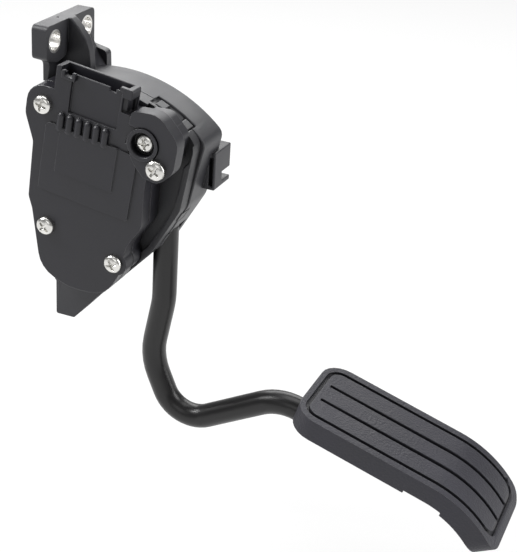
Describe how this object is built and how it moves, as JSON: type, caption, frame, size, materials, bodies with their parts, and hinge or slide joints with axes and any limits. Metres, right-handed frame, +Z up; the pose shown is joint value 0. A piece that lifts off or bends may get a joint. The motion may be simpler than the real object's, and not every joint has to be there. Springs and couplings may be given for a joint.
{
  "type": "accelerator pedal sensor",
  "caption": "Suspended accelerator pedal with a position sensor: plastic housing on a two-bolt plate, screwed-on sensor with a plug inlet, bent steel arm and a grooved rubber pad",
  "frame": {"origin": "middle of the two mounting holes, on the back face of the mounting plate", "axes": "+X from the mounting face towards the driver, +Y from the sensor side to the far side, +Z up along the mounting plate"},
  "size_m": [0.2441, 0.0641, 0.2154],
  "materials": {
    "housing_plastic": "moulded glass-filled plastic, satin",
    "side_cover_plastic": "moulded glass-filled plastic, satin",
    "sleeve_steel": "rolled steel sleeve, zinc plated",
    "sensor_plastic": "moulded glass-filled plastic, satin",
    "gasket_rubber": "moulded seal",
    "terminal_brass": "tin-plated blades",
    "board_laminate": "green solder mask",
    "rotor_plastic": "natural acetal",
    "wiper_bronze": "spring bronze strip",
    "screw_steel": "bright plated pan-head screw",
    "shaft_steel": "ground steel",
    "bush_bronze": "sintered bronze",
    "lever_plastic": "moulded glass-filled plastic",
    "shoe_plastic": "moulded bearing plastic",
    "cup_plastic": "moulded plastic",
    "spring_steel": "drawn spring wire",
    "bumper_rubber": "moulded rubber",
    "arm_paint": "gloss black powder coat on steel tube",
    "pad_rubber": "matte moulded rubber with grooved tread"
  },
  "bodies": {
    "housing": {"main_housing": "housing_plastic", "side_cover": "side_cover_plastic", "mount_sleeve_near": "sleeve_steel", "mount_sleeve_far": "sleeve_steel", "sensor_base": "sensor_plastic", "sensor_gasket": "gasket_rubber", "sensor_cover": "sensor_plastic", "terminal_pins": "terminal_brass", "circuit_board": "board_laminate", "cover_screws": "screw_steel", "base_screw": "screw_steel", "bush_near": "bush_bronze", "bush_far": "bush_bronze", "return_spring_outer": "spring_steel", "return_spring_inner": "spring_steel", "idle_bumper": "bumper_rubber", "full_bumper": "bumper_rubber"},
    "pedal": {"pedal_lever": "lever_plastic", "friction_shoe": "shoe_plastic", "spring_cup": "cup_plastic", "pivot_shaft": "shaft_steel", "sensor_rotor": "rotor_plastic", "wiper_contact": "wiper_bronze", "arm_tube": "arm_paint", "pad_bracket": "arm_paint", "pad_plate": "arm_paint", "pad_cover": "pad_rubber"}
  },
  "joints": [
    {"name": "pedal_hinge", "type": "hinge", "parent": "housing", "child": "pedal", "pos_m": [0.0285, 0.002, -0.092], "axis": [0, 1, 0], "range_deg": [0, 17], "stiffness_Nm_per_rad": 9, "springref_deg": -17.19, "deforming": ["return_spring_outer", "return_spring_inner"]}
  ]
}
